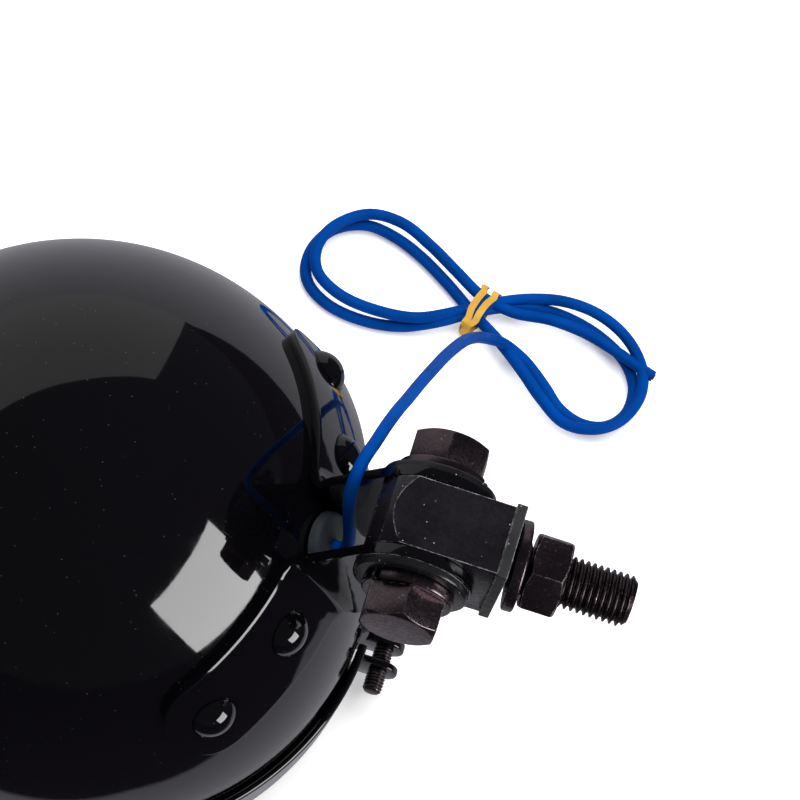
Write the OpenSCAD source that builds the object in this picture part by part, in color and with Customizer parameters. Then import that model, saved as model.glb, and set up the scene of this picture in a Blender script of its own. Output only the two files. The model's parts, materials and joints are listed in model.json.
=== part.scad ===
/* [Shell] */
// Outer diameter of the shell's straight mouth
shell_d = 120; // [110:1:138]
// Height at which the straight mouth turns into the dome
dome_start = 21; // [18:0.5:26]
// Height of the dome above its start
dome_h = 69.5; // [64:0.5:76]
// Fullness of the dome's curve, 2 is an ellipse
dome_power = 1.8; // [1.7:0.05:2]
// Wall of the pressed steel shell
shell_t = 1.2; // [1:0.1:1.6]
// Height of the shell's open edge above the front rim
mouth_z = 7.6; // [7.6:0.1:9]

/* [Trim ring] */
// Wall of the trim ring's strip
ring_t = 1.2; // [0.8:0.1:1.4]
// Clearance between ring and shell
ring_clear = 0.3; // [0.2:0.05:0.5]
// Height of the trim ring's skirt
ring_h = 16.6; // [14:0.2:18]
// Radius of the ring's rounded front corner
ring_nose_r = 5; // [3.5:0.5:6]
// Width of the ring's front face, from its edge to the lens opening
ring_face = 7; // [6.8:0.1:12]
// Radius of the rolled bead at the ring's rear edge
bead_r = 0.9; // [0.6:0.1:1.2]
// Width of the gap where the ring is split
split_w = 3.6; // [2.5:0.1:5]
// How far the clamp tabs stand out of the ring
tab_out = 8.2; // [7.5:0.1:11]
// Thickness of each clamp tab
tab_t = 1.5; // [1.2:0.1:2]
// Height of each clamp tab
tab_w = 8; // [7:0.5:10]
// Length of the drain slot in the ring's skirt
drain_len = 6.4; // [4:0.2:9]
// Width of the drain slot
drain_w = 2; // [1.5:0.1:3]
// Place of the drain slot round the ring, in degrees from the mount
drain_angle = 15; // [12:1:25]

/* [Clamp screw] */
// Thread diameter of the clamp screw
clamp_d = 4; // [3:0.5:4]
// Length of the clamp screw under its head
clamp_len = 11.2; // [10:0.2:16]
// Diameter of the clamp screw's head
clamp_head_d = 8; // [6:0.5:8.5]
// Height of the clamp screw's head
clamp_head_h = 2.9; // [2:0.1:3.5]

/* [Lens unit] */
// Thickness of the glass lens
lens_t = 3; // [2.5:0.1:3.2]
// How far the lens bulges forward at its middle
lens_crown = 1.4; // [0.6:0.1:1.6]
// Thickness of the reflector's sheet
reflector_t = 0.8; // [0.6:0.1:1.2]
// Focal length of the reflector's parabola
reflector_focal = 17; // [16:0.5:19]
// Radius of the bulb opening in the reflector
bulb_hole_r = 14; // [12.5:0.5:16]
// Radius of the bulb's glass
bulb_glass_r = 8; // [6:0.5:9]
// Distance of the bulb's tip from the back of the lens
bulb_clear = 8; // [6:0.5:14]

/* [Mount brackets] */
// Height on the shell where the brackets are centred
foot_z = 59.5; // [58:0.5:61]
// Clear gap between the two ears
ear_gap = 14; // [13.5:0.1:16]
// Thickness of the bracket's sheet
bracket_t = 2; // [1.6:0.1:2.5]
// Width of the flange that lies on the shell
flange_w = 21; // [18:0.5:22]
// Reach of each flange from the middle plane
flange_reach = 41.6; // [41:0.2:45]
// Corner radius of the flange's free end
flange_corner_r = 5.5; // [3:0.5:8]
// Radius of the ear's round end
ear_r = 11.4; // [11:0.1:12.5]
// Distance of the far rivet from the flange's free end
rivet_edge = 5.2; // [5:0.1:6.5]
// Distance between the two rivets of a flange
rivet_pitch = 18; // [16:0.2:18.4]
// Diameter of a rivet's domed head
rivet_head_d = 9; // [7.5:0.1:10]
// Height of a rivet's domed head
rivet_head_h = 2.6; // [1.8:0.1:3.2]
// Diameter of a rivet's shank
rivet_shank_d = 4.8; // [4:0.1:5.4]

/* [Swivel block] */
// Distance of the pivot from the lamp's axis
pivot_x = 64.5; // [64:0.5:67]
// Height of the pivot above the front rim
pivot_z = 80.5; // [79.5:0.5:82]
// Side of the block between the ears
block_w = 13.6; // [13:0.1:13.6]
// Depth of the block across the stud
block_h = 22; // [20:0.5:22.5]
// Length of the block from the pivot to its round end
block_tail = 10.3; // [9.5:0.1:10.8]
// Length of the block from the pivot to the end plate
block_nose = 14.2; // [14:0.1:18]
// Thickness of the end plate
plate_t = 2; // [1.5:0.1:3]
// How far the end plate stands proud of the block
plate_proud = 0.6; // [0.2:0.1:1.2]

/* [Fasteners] */
// Thread diameter of the stud
stud_d = 10; // [8:0.5:10]
// Length of the stud outside the end plate
stud_out = 24; // [22:0.5:32]
// Thread diameter of the pivot bolts
bolt_d = 10; // [8:0.5:10]
// Width across flats of the nut and the bolt heads
hex_af = 14; // [14:0.5:16]
// Height of a bolt head
bolt_head_h = 6.4; // [5.5:0.1:7]
// Height of the stud's nut
nut_h = 7; // [6:0.1:8]
// Gap that the loose spring washer lies in
nut_gap = 3.8; // [3.6:0.1:4.4]
// Outer diameter of a flat washer
washer_d = 22; // [18:0.5:22]
// Thickness of a flat washer
washer_t = 1.6; // [1.4:0.1:2.5]
// Outer diameter of a spring washer
spring_washer_d = 17.4; // [16.5:0.1:18]
// Thickness of a spring washer
spring_washer_t = 2.2; // [2:0.1:2.6]
// Tilt of the loose spring washer on the stud, in degrees
loose_tilt = 3; // [0:0.5:3]

/* [Grommet and wire] */
// Outer diameter of the rubber grommet
grommet_d = 13.2; // [12:0.1:13.2]
// Diameter of the grommet's hole in the shell
grommet_hole_d = 9.6; // [8:0.1:10]
// How far the grommet stands out of the shell
grommet_out = 2.4; // [1.5:0.1:3]
// Diameter of the insulated wire
wire_d = 2.5; // [2.4:0.1:3]

/* [Hidden] */
$fn = 64;
gloss_black = [0.05, 0.05, 0.06];
oxide = [0.17, 0.14, 0.15];

// Shell profile: h runs from 0 at the dome's start to 1 at its pole
shell_r = shell_d / 2;
dome_steps = 26;
function dome_h_at(i) = pow(sin(90 * i / dome_steps), 2 / dome_power);
function dome_r_at(i) = shell_r * pow(cos(90 * i / dome_steps), 2 / dome_power);
function dome_point(i) = [dome_r_at(i), dome_start + dome_h * dome_h_at(i)];
function unit(v) = v / norm(v);
function outward(a, b) = let (d = unit(b - a)) [d[1], -d[0]];
// Normal at point i, level at the dome's start and upright at its pole
function dome_normal(i) = i == 0 ? [1, 0] : i == dome_steps ? [0, 1]
    : unit(outward(dome_point(i - 1), dome_point(i)) + outward(dome_point(i), dome_point(i + 1)));
function layer_point(i, off) = let (p = dome_point(i) + off * dome_normal(i)) [max(p[0], 0), p[1]];
function layer(off) = [for (i = [0 : dome_steps]) layer_point(i, off)];

// Exact curve of the shell, for the places of what is fastened to it
function share(z) = min(max((z - dome_start) / dome_h, 0), 1);
function shell_r_at(z) = shell_r * pow(1 - pow(share(z), dome_power), 1 / dome_power);
function shell_slope(z) = (shell_r_at(z + 0.05) - shell_r_at(z - 0.05)) / 0.1;
function shell_x_at(y, z) = sqrt(pow(shell_r_at(z), 2) - y * y);
// The mount's foot on the shell, and the tilt of its normal above level
foot_x = shell_r_at(foot_z);
foot_tilt = atan(-shell_slope(foot_z));
// Height of the flange's middle line at a distance y from the middle plane
function flange_z(y, n = 24) = n == 0 ? foot_z
    : let (z = flange_z(y, n - 1))
      (z + foot_z + (shell_x_at(y, z) - foot_x) * tan(foot_tilt)) / 2;

// Trim ring radii
ring_in_r = shell_r + ring_clear;
ring_out_r = ring_in_r + ring_t;
aperture_r = ring_out_r - ring_face;
lens_in_r = aperture_r - 0.4;
tab_r = tab_w / 2;
tab_x = ring_out_r + tab_out - tab_r;
tab_z = ring_nose_r + tab_r - 1.6;
lens_seat_z = ring_t + 0.9;
lens_r = ring_out_r - ring_nose_r - 0.4;
lens_back_z = lens_seat_z + lens_t;
gasket_t = 1.3;
flange_top_z = lens_back_z + reflector_t;
clip_t = 0.7;
clip_leg = 4;
clip_reach = 3.4;
clip_angle = 24;
clip_out_r = ring_in_r - 0.3;

// Reflector: z of the parabola at a radius, with its bulb opening at the back
reflector_rim_r = aperture_r - 3;
function parabola_z(r) = flange_top_z + (pow(reflector_rim_r, 2) - r * r) / (4 * reflector_focal);
reflector_back_z = parabola_z(bulb_hole_r);
collar_len = 5;
collar_skirt = 3.6;
collar_t = 0.9;
collar_z = reflector_back_z + collar_len;
// The bulb's glass reaches from the collar to its clearance behind the lens
bulb_glass_len = collar_z - lens_back_z - bulb_clear;
bulb_flange_t = 1.6;
bulb_base_r = bulb_hole_r - 3.5;
bulb_base_len = 6;
bulb_base_z = collar_z + bulb_flange_t;
plug_z = bulb_base_z + bulb_base_len + 0.5;
plug_w = 20;
plug_depth = 15;
plug_h = 13;
// Contact blades of the bulb, by the middles of their ends
blade_len = 5;
blade_w = 7;
blade_t = 0.8;
blade_places = [[-6, 0], [6, 0], [0, 5.4]];

// Rivets, from the middle plane
rivet_far = flange_reach - rivet_edge;
rivet_near = rivet_far - rivet_pitch;

// Mount stack along the pivot's axis
ear_y = ear_gap / 2;
washer_y = ear_y + bracket_t;
spring_y = washer_y + washer_t;
head_y = spring_y + spring_washer_t;
bolt_in = block_w / 2 - 5.8;
fit_gap = 0.05;
thread_r = bolt_d / 2;
hex_r = hex_af / sqrt(3);
plate_x = block_nose + plate_t;
nut_x = plate_x + nut_gap;
stud_r = stud_d / 2;
stud_root_r = stud_r + 0.5;
stud_core_r = stud_r - 0.6;
stud_free_x = nut_x + nut_h + 0.5;
stud_in_x = thread_r + 1.2;
stud_chamfer = 1;
washer_bore_r = bolt_d / 2 + 0.25;

// Grommet along the shell's normal at the foot
grommet_neck = shell_t + 0.4;
wire_hole_r = wire_d / 2 + 0.1;

// Wire: points from the grommet's mouth over the left ear and down to the table
lead_start = [foot_x, 0, foot_z] + (grommet_out + 0.05) * [cos(foot_tilt), 0, sin(foot_tilt)];
lead_points = [[51.2, -0.3, 62], [51.4, 0.6, 66], [50, 2.2, 73], [49, 4.1, 79], [48.9, 6.4, 83],
    [49.5, 10, 83.8], [50.5, 14.3, 82], [51.5, 19.2, 79.4], [52.7, 24.4, 75.8], [54, 29.6, 71],
    [55.4, 35.6, 65.4], [56.9, 42, 58.4], [58.6, 49.6, 49.2], [60.4, 57.2, 38.6], [62.4, 64.6, 27.4],
    [64.6, 70.6, 17], [67.2, 74.6, 9.4], [70.2, 76.6, 5.2], [73.4, 76.6, 3.6]];
wire_sides = 8;
// Middle of the hank, its half length, and the turn that brings it along the lead
hank_middle = [63, 82.2];
hank_turn = -7;
hank_long = 41;
hank_lobe_r = 14;
hank_waist = 6;
hank_h = 2 * wire_d;

// Shapes shared by several pieces
function arc(c, r, from, to, steps) =
    [for (i = [0 : steps]) let (a = from + (to - from) * i / steps) c + r * [cos(a), sin(a)]];
module revolve(points) {
    rotate_extrude($fn = 144)
        polygon(points);
}
module shell_solid(off) {
    revolve(concat([[0, mouth_z - 20], [shell_r + off, mouth_z - 20]], layer(off)));
}
// Moves children to the pivot, with +X along the stud
module at_pivot() {
    translate([pivot_x, 0, pivot_z])
        children();
}
// Turns +Z to +Y
module along_y() {
    rotate([-90, 0, 0])
        children();
}
// Turns +Z to +X
module along_x() {
    rotate([0, 90, 0])
        children();
}
// Places children on the shell's flange line at y, with +Z along the shell's normal
module on_flange(y) {
    z = flange_z(y);
    x = shell_x_at(y, z);
    translate([x, y, z])
        rotate([0, 0, asin(y / shell_r_at(z))])
            rotate([0, 90 - atan(-shell_slope(z)), 0])
                children();
}
// Places children at the mount's foot, with +Z along the shell's normal
module on_foot() {
    translate([foot_x, 0, foot_z])
        rotate([0, 90 - foot_tilt, 0])
            children();
}
// Mirrors the left side's pieces to the right side
module on_side(side) {
    if (side > 0)
        children();
    else
        mirror([0, 1, 0])
            children();
}
module hex_prism(h, both_ends) {
    chamfer = hex_r - hex_af / 2;
    intersection() {
        cylinder(r = hex_r, h = h, $fn = 6);
        rotate_extrude()
            polygon([[0, 0], [both_ends ? hex_af / 2 - 0.2 : hex_r + 1, 0],
                [hex_r + 0.4, both_ends ? (chamfer + 0.6) * tan(30) : 0],
                [hex_r + 0.4, h - (chamfer + 0.6) * tan(30)], [hex_af / 2 - 0.2, h], [0, h]]);
    }
}
module split_washer(turn) {
    rotate([0, 0, turn])
        difference() {
            cylinder(d = spring_washer_d, h = spring_washer_t);
            translate([0, 0, -1])
                cylinder(r = washer_bore_r, h = spring_washer_t + 2);
            translate([spring_washer_d / 2 - 2, 0, spring_washer_t / 2])
                rotate([25, 0, 0])
                    cube([8, 0.9, spring_washer_t * 3], center = true);
        }
}
module flat_washer() {
    difference() {
        cylinder(d = washer_d, h = washer_t);
        translate([0, 0, -1])
            cylinder(r = washer_bore_r, h = washer_t + 2);
    }
}

// Shell of pressed steel with the grommet's hole and four rivet holes
module shell() {
    color(gloss_black)
        difference() {
            revolve(concat([[shell_r - shell_t, mouth_z], [shell_r, mouth_z]], layer(0),
                [for (i = [dome_steps : -1 : 0]) layer_point(i, -shell_t)]));
            on_foot()
                translate([0, 0, -6])
                    cylinder(d = grommet_hole_d, h = 12);
            for (side = [-1, 1], y = [rivet_near, rivet_far])
                on_flange(side * y)
                    translate([0, 0, -6])
                        cylinder(d = rivet_shank_d + 2 * fit_gap, h = 12);
        }
}

// Outline of an ear in the plane of the lamp's axis, from the shell to its round end
module ear_outline() {
    root = [cos(foot_tilt), sin(foot_tilt)];
    side = [-root[1], root[0]];
    foot = [foot_x, foot_z] - 4 * root;
    pivot = [pivot_x, pivot_z];
    a = foot + flange_w / 2 * side;
    b = foot - flange_w / 2 * side;
    translate(pivot)
        circle(r = ear_r);
    polygon([a, tangent(a, pivot, -1), pivot, tangent(b, pivot, 1), b]);
}
// Point where the line from p touches the circle of an ear's end
function tangent(p, c, hand) =
    let (v = p - c, turn = hand * acos(ear_r / norm(v)), d = unit(v) * ear_r)
    c + [d[0] * cos(turn) - d[1] * sin(turn), d[0] * sin(turn) + d[1] * cos(turn)];

// Bracket: a flange curved on the shell, and an ear bent up from it
module bracket() {
    color(gloss_black)
        difference() {
            union() {
                intersection() {
                    shell_solid(bracket_t);
                    on_foot()
                        translate([0, 0, -40])
                            linear_extrude(60)
                                flange_outline();
                }
                translate([0, ear_y + bracket_t, 0])
                    rotate([90, 0, 0])
                        linear_extrude(bracket_t)
                            ear_outline();
            }
            shell_solid(0.02);
            at_pivot()
                translate([0, ear_y - 1, 0])
                    along_y()
                        cylinder(r = thread_r + 0.1, h = bracket_t + 2);
            for (y = [rivet_near, rivet_far])
                on_flange(y)
                    translate([0, 0, -6])
                        cylinder(d = rivet_shank_d + 2 * fit_gap, h = 14);
        }
}
// Outline of a flange seen along the foot's normal, with round outer corners
module flange_outline() {
    w = flange_w / 2;
    r = flange_corner_r;
    polygon(concat([[-w, ear_y], [w, ear_y]], arc([w - r, flange_reach - r], r, 0, 90, 8),
        arc([r - w, flange_reach - r], r, 90, 180, 8)));
}
module left_bracket() {
    bracket();
}
module right_bracket() {
    on_side(-1)
        bracket();
}

// Rivets: domed head outside, shank, and a flat formed head inside the shell
module rivets(side) {
    head_r = rivet_head_d / 2;
    ball_r = (head_r * head_r + rivet_head_h * rivet_head_h) / (2 * rivet_head_h);
    color(gloss_black)
        for (y = [rivet_near, rivet_far])
            on_side(side)
                on_flange(y) {
                    translate([0, 0, bracket_t + 0.3])
                        intersection() {
                            translate([0, 0, rivet_head_h - ball_r])
                                sphere(r = ball_r);
                            cylinder(r = head_r + 1, h = rivet_head_h + 1);
                        }
                    translate([0, 0, -shell_t - 1.8])
                        cylinder(d = rivet_shank_d, h = bracket_t + shell_t + 2.2);
                    translate([0, 0, -shell_t - 1.8])
                        cylinder(r = head_r - 1, h = 1.2);
                }
}
module left_rivets() {
    rivets(1);
}
module right_rivets() {
    rivets(-1);
}

// Rubber grommet with a groove for the shell and a hole for the wire
module grommet() {
    r = grommet_d / 2;
    neck_r = grommet_hole_d / 2 - fit_gap;
    lip = 1.1;
    color([0.33, 0.35, 0.37])
        on_foot()
            rotate_extrude()
                difference() {
                    union() {
                        translate([0, 0.2])
                            square([r - lip, grommet_out - 0.2]);
                        translate([0, 0.2])
                            square([r, grommet_out - 0.2 - lip]);
                        translate([r - lip, grommet_out - lip])
                            circle(r = lip);
                        translate([0, -grommet_neck - 2])
                            square([neck_r, grommet_neck + 3]);
                        translate([0, -grommet_neck - 2])
                            square([r - 0.6, 1.8]);
                    }
                    translate([-1, -grommet_neck - 3])
                        square([1 + wire_hole_r, 20]);
                }
}

// Trim ring: rolled strip, split at the mount's side, with a tab at each end of the split
module trim_ring() {
    nose_x = ring_out_r - ring_nose_r;
    hole_y = split_w / 2 + tab_t + 1;
    color(gloss_black)
        difference() {
            union() {
                rotate_extrude($fn = 144)
                    ring_section(nose_x);
                for (side = [-1, 1])
                    on_side(side)
                        translate([0, split_w / 2 + tab_t, 0])
                            rotate([90, 0, 0])
                                linear_extrude(tab_t)
                                    polygon(concat([[ring_in_r + 0.2, tab_z - tab_r]],
                                        arc([tab_x, tab_z], tab_r, -90, 90, 12), [[ring_in_r + 0.2, tab_z + tab_r]]));
            }
            translate([0, -split_w / 2, -1])
                cube([ring_out_r + tab_out, split_w, ring_h + 4]);
            translate([tab_x, -hole_y, tab_z])
                along_y()
                    cylinder(d = clamp_d + 2 * fit_gap, h = 2 * hole_y);
            rotate([0, 0, -drain_angle])
                translate([0, 0, ring_h - 6.5])
                    rotate([90, 0, 90])
                        linear_extrude(ring_out_r + 5)
                            polygon(concat(arc([drain_len / 2 - drain_w / 2, 0], drain_w / 2, -90, 90, 6),
                                arc([drain_w / 2 - drain_len / 2, 0], drain_w / 2, 90, 270, 6)));
        }
}

// Section of the ring: skirt with a rolled bead, round nose and the lens lip
module ring_section(nose_x) {
    bead_c = [ring_in_r + bead_r, ring_h - bead_r];
    nose_c = [nose_x, ring_nose_r];
    polygon(concat(
        arc(nose_c, ring_nose_r, -90, 0, 8),
        arc(bead_c, bead_r, -60, 180, 8),
        arc(nose_c, ring_nose_r - ring_t, 0, -90, 8),
        [[aperture_r + ring_t, ring_t], [aperture_r + ring_t, lens_seat_z], [aperture_r, lens_seat_z], [aperture_r, 0]]));
}

// Clamp screw with a round slotted head, across the ring's split
module clamp_screw() {
    head_r = clamp_head_d / 2;
    ball_r = (head_r * head_r + clamp_head_h * clamp_head_h) / (2 * clamp_head_h);
    color(oxide)
        translate([tab_x, split_w / 2 + tab_t, tab_z])
            along_y()
                difference() {
                    union() {
                        translate([0, 0, -clamp_len])
                            cylinder(d = clamp_d, h = clamp_len + 0.5);
                        intersection() {
                            translate([0, 0, clamp_head_h - ball_r])
                                sphere(r = ball_r);
                            cylinder(r = head_r + 1, h = clamp_head_h + 1);
                        }
                    }
                    for (turn = [0, 90])
                        rotate([0, 0, turn])
                            translate([0, 0, clamp_head_h + 0.4])
                                cube([head_r, 1, 3], center = true);
                }
}

// Glass lens, crowned forward and flat at its rim
module lens() {
    steps = 12;
    color([0.85, 0.9, 0.93])
        revolve(concat(
            [for (i = [0 : steps])
                [lens_in_r * i / steps, lens_seat_z - lens_crown * pow(cos(90 * i / steps), 1.5)]],
            [[lens_r, lens_seat_z], [lens_r, lens_back_z], [lens_in_r, lens_back_z]],
            [for (i = [steps - 1 : -1 : 0])
                [lens_in_r * i / steps, lens_back_z - 0.6 * lens_crown * cos(90 * i / steps)]]));
}

// Rubber channel round the rims of lens and reflector
module lens_gasket() {
    rim_r = lens_r + fit_gap;
    color([0.12, 0.12, 0.12])
        revolve([[rim_r, lens_seat_z], [rim_r + gasket_t, lens_seat_z],
            [rim_r + gasket_t, flange_top_z + 0.6], [lens_r - 1.6, flange_top_z + 0.6],
            [lens_r - 1.6, flange_top_z + fit_gap], [rim_r, flange_top_z + fit_gap]]);
}

// Four sprung clips that hold the lens unit in the ring
module lens_clips() {
    clip_z = flange_top_z + 0.6;
    color([0.6, 0.6, 0.58])
        for (turn = [45 : 90 : 315])
            rotate([0, 0, turn - clip_angle / 2]) {
                rotate_extrude(angle = clip_angle)
                    translate([lens_r - clip_reach, clip_z])
                        square([clip_out_r - lens_r + clip_reach, clip_t]);
                rotate_extrude(angle = clip_angle)
                    translate([lens_r - clip_reach, clip_z])
                        square([clip_t, clip_leg]);
            }
}

// Reflector: a flat rim, a parabolic bowl and a straight neck for the bulb
module reflector() {
    steps = 16;
    function bowl_r(i) = reflector_rim_r + (bulb_hole_r - reflector_rim_r) * i / steps;
    color([0.8, 0.82, 0.84])
        revolve(concat(
            [[lens_r, lens_back_z], [lens_r, flange_top_z], [reflector_rim_r + 1, flange_top_z]],
            [for (i = [0 : steps]) [bowl_r(i) + reflector_t, parabola_z(bowl_r(i)) + reflector_t]],
            [[bulb_hole_r + reflector_t, collar_z], [bulb_hole_r, collar_z]],
            [for (i = [steps : -1 : 0]) [bowl_r(i), parabola_z(bowl_r(i))]],
            [[reflector_rim_r, lens_back_z]]));
}

// Bulb: glass, metal base and flange, and three contact blades behind
module bulb() {
    color([0.75, 0.77, 0.8]) {
        translate([0, 0, collar_z]) {
            cylinder(r = bulb_hole_r + reflector_t, h = bulb_flange_t);
            cylinder(r = bulb_base_r, h = bulb_flange_t + bulb_base_len);
            translate([0, 0, -4])
                cylinder(r = bulb_base_r - 1, h = 5);
            translate([0, 0, bulb_glass_r - bulb_glass_len])
                cylinder(r = bulb_glass_r, h = bulb_glass_len - bulb_glass_r);
            translate([0, 0, bulb_glass_r - bulb_glass_len])
                sphere(r = bulb_glass_r);
        }
        for (at = blade_places)
            translate([at[0] - blade_w / 2, at[1] - blade_t / 2, bulb_base_z + bulb_base_len - 1])
                cube([blade_w, blade_t, blade_len + 2]);
    }
}

// Pressed collar that centres the bulb on the reflector's neck
module bulb_collar() {
    r = bulb_hole_r + reflector_t + fit_gap;
    color([0.55, 0.55, 0.5])
        difference() {
            translate([0, 0, collar_z - collar_skirt])
                cylinder(r = r + collar_t, h = collar_skirt + bulb_flange_t);
            translate([0, 0, collar_z - collar_skirt - 1])
                cylinder(r = r, h = collar_skirt + bulb_flange_t + 2);
        }
}

// Wire spring that presses the bulb's flange on the neck
module bulb_spring() {
    wire_r = 0.8;
    z = bulb_base_z + wire_r;
    r = bulb_base_r + wire_r + 0.4;
    color([0.7, 0.7, 0.68]) {
        translate([0, 0, z])
            rotate([0, 0, 20])
                rotate_extrude(angle = 320)
                    translate([r, 0])
                        circle(r = wire_r, $fn = 16);
        for (turn = [20, 340])
            rotate([0, 0, turn])
                translate([r, 0, z])
                    along_x()
                        cylinder(r = wire_r - 0.1, h = bulb_hole_r + 2 - r, $fn = 16);
    }
}

// Plug on the bulb's contact blades, with the slots that the blades fill
module bulb_plug() {
    slot_w = blade_w + 0.3;
    slot_t = blade_t + 0.3;
    color([0.1, 0.1, 0.11])
        difference() {
            translate([-plug_w / 2, -plug_depth / 2, plug_z])
                cube([plug_w, plug_depth, plug_h]);
            for (at = blade_places)
                translate([at[0] - slot_w / 2, at[1] - slot_t / 2, plug_z - 1])
                    cube([slot_w, slot_t, blade_len + 2]);
        }
}

// Sweep of a round cord along points, closed at both ends
function ring_frame(points, i) =
    let (n = len(points),
         t = unit(points[min(i + 1, n - 1)] - points[max(i - 1, 0)]),
         s = unit(cross(t, [0.15, 0.1, 1])))
    [s, cross(t, s)];
function sweep_rings(points) =
    [for (i = [0 : len(points) - 1])
        let (f = ring_frame(points, i))
        for (k = [0 : wire_sides - 1])
            points[i] + wire_d / 2 * (cos(360 * k / wire_sides) * f[0] + sin(360 * k / wire_sides) * f[1])];
module cord(points) {
    n = len(points);
    m = wire_sides;
    polyhedron(
        points = sweep_rings(points),
        faces = concat(
            [[for (k = [0 : m - 1]) k]],
            [for (i = [0 : n - 2], k = [0 : m - 1])
                [i * m + k, (i + 1) * m + k, (i + 1) * m + (k + 1) % m]],
            [for (i = [0 : n - 2], k = [0 : m - 1])
                [i * m + k, (i + 1) * m + (k + 1) % m, i * m + (k + 1) % m]],
            [[for (k = [m - 1 : -1 : 0]) (n - 1) * m + k]]));
}

// Wire inside the shell, from the bulb's plug to the grommet's mouth
module inner_wire() {
    out = [cos(foot_tilt), 0, sin(foot_tilt)];
    foot = [foot_x, 0, foot_z];
    plug_side = [plug_w / 2, 0, plug_z + plug_h / 2];
    color([0, 0.23, 0.62])
        cord([plug_side, plug_side + [4, 0, -0.5], plug_side + [9, 0, -3], foot - 14 * out,
            foot - 7 * out, foot, foot + grommet_out * out]);
}

// Swivel block: square bar with a turned inner end, tapped across and along
module pivot_block() {
    turned_r = norm([block_w, block_h]) / 2 + 0.1;
    color([0.08, 0.08, 0.09])
        at_pivot()
            difference() {
                intersection() {
                    translate([-block_tail, -block_w / 2, -block_h / 2])
                        cube([block_tail + block_nose, block_w, block_h]);
                    along_x()
                        rotate_extrude()
                            polygon([[0, -block_tail], [7, -block_tail], [turned_r - 2.6, -block_tail + 2.2],
                                [turned_r, -block_tail + 6], [turned_r, block_nose], [0, block_nose]]);
                }
                for (side = [-1, 1])
                    on_side(side)
                        translate([0, bolt_in - 0.4, 0])
                            along_y()
                                cylinder(r = thread_r + fit_gap, h = block_w);
                translate([stud_in_x, 0, 0])
                    along_x()
                        cylinder(r = stud_root_r + fit_gap, h = block_nose);
            }
}

// End plate that the stud passes through, a little larger than the block
module end_plate() {
    w = block_w + 2 * plate_proud;
    h = block_h + 2 * plate_proud;
    color([0.16, 0.18, 0.17])
        at_pivot()
            difference() {
                translate([block_nose, -w / 2, -h / 2])
                    cube([plate_t, w, h]);
                translate([block_nose - 1, 0, 0])
                    along_x()
                        cylinder(r = stud_root_r + fit_gap, h = plate_t + 2);
            }
}

// Threaded stud: a thicker root held in the block, the thread's core inside the nut, and the free thread
module stud() {
    tip_x = plate_x + stud_out;
    color(oxide)
        at_pivot()
            along_x()
                rotate_extrude()
                    polygon([[0, stud_in_x], [stud_root_r, stud_in_x], [stud_root_r, plate_x],
                        [stud_core_r, plate_x], [stud_core_r, stud_free_x], [stud_r, stud_free_x],
                        [stud_r, tip_x - stud_chamfer],
                        [stud_r - stud_chamfer, tip_x], [0, tip_x]]);
}
module stud_spring_washer() {
    color(oxide)
        at_pivot()
            translate([plate_x + (nut_gap - spring_washer_t) / 2, 0, 0])
                rotate([0, 0, -loose_tilt])
                    along_x()
                        split_washer(200);
}
module stud_nut() {
    color(oxide)
        at_pivot()
            translate([nut_x, 0, 0])
                along_x()
                    difference() {
                        rotate([0, 0, 24])
                            hex_prism(nut_h, true);
                        translate([0, 0, -1])
                            cylinder(r = stud_core_r + fit_gap, h = nut_h + 2);
                    }
}

// Pivot bolts, one from each side into the block, on spring and flat washers
module on_pivot_side(side, y) {
    at_pivot()
        on_side(side)
            translate([0, y, 0])
                along_y()
                    children();
}
module left_washer() {
    color([0.07, 0.07, 0.08])
        on_pivot_side(1, washer_y)
            flat_washer();
}
module right_washer() {
    color([0.07, 0.07, 0.08])
        on_pivot_side(-1, washer_y)
            flat_washer();
}
module left_spring_washer() {
    color(oxide)
        on_pivot_side(1, spring_y)
            split_washer(-25);
}
module right_spring_washer() {
    color(oxide)
        on_pivot_side(-1, spring_y)
            split_washer(140);
}
module pivot_bolt(turn) {
    color(oxide) {
        rotate([0, 0, turn])
            hex_prism(bolt_head_h, false);
        translate([0, 0, bolt_in - head_y])
            cylinder(r = thread_r, h = head_y - bolt_in + 1);
    }
}
module left_pivot_bolt() {
    on_pivot_side(1, head_y)
        pivot_bolt(25);
}
module right_pivot_bolt() {
    on_pivot_side(-1, head_y)
        pivot_bolt(30);
}

module wire_lead() {
    color([0, 0.25, 0.65])
        cord(concat([lead_start], lead_points));
}

// Hank: the closed outline of a figure of eight, as high as its two layers
module wire_hank() {
    lobe_x = hank_long - hank_lobe_r;
    color([0, 0.25, 0.65])
        translate(hank_middle)
            rotate([0, 0, hank_turn])
                linear_extrude(hank_h)
                    polygon(concat(arc([lobe_x, 0], hank_lobe_r, -95, 95, 16), [[0, hank_waist]],
                        arc([-lobe_x, 0], hank_lobe_r, 85, 275, 16), [[0, -hank_waist]]));
}

// Foil tie round the waist of the hank
module wire_tie() {
    tie_w = 5;
    tie_t = 0.4;
    tie_y = hank_waist + (hank_lobe_r - hank_waist) * tie_w / 2 / (hank_long - hank_lobe_r) + fit_gap;
    color([0.85, 0.62, 0.15])
        translate(hank_middle)
            rotate([0, 0, hank_turn])
                difference() {
                    translate([-tie_w / 2, -tie_y - tie_t, 0])
                        cube([tie_w, 2 * (tie_y + tie_t), hank_h + tie_t]);
                    translate([-tie_w, -tie_y, -1])
                        cube([2 * tie_w, 2 * tie_y, hank_h + 1]);
                }
}

shell();
left_bracket();
right_bracket();
left_rivets();
right_rivets();
grommet();
trim_ring();
clamp_screw();
lens();
lens_gasket();
lens_clips();
reflector();
bulb();
bulb_collar();
bulb_spring();
bulb_plug();
inner_wire();
pivot_block();
end_plate();
stud();
stud_spring_washer();
stud_nut();
left_washer();
right_washer();
left_spring_washer();
right_spring_washer();
left_pivot_bolt();
right_pivot_bolt();
wire_lead();
wire_hank();
wire_tie();
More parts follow.
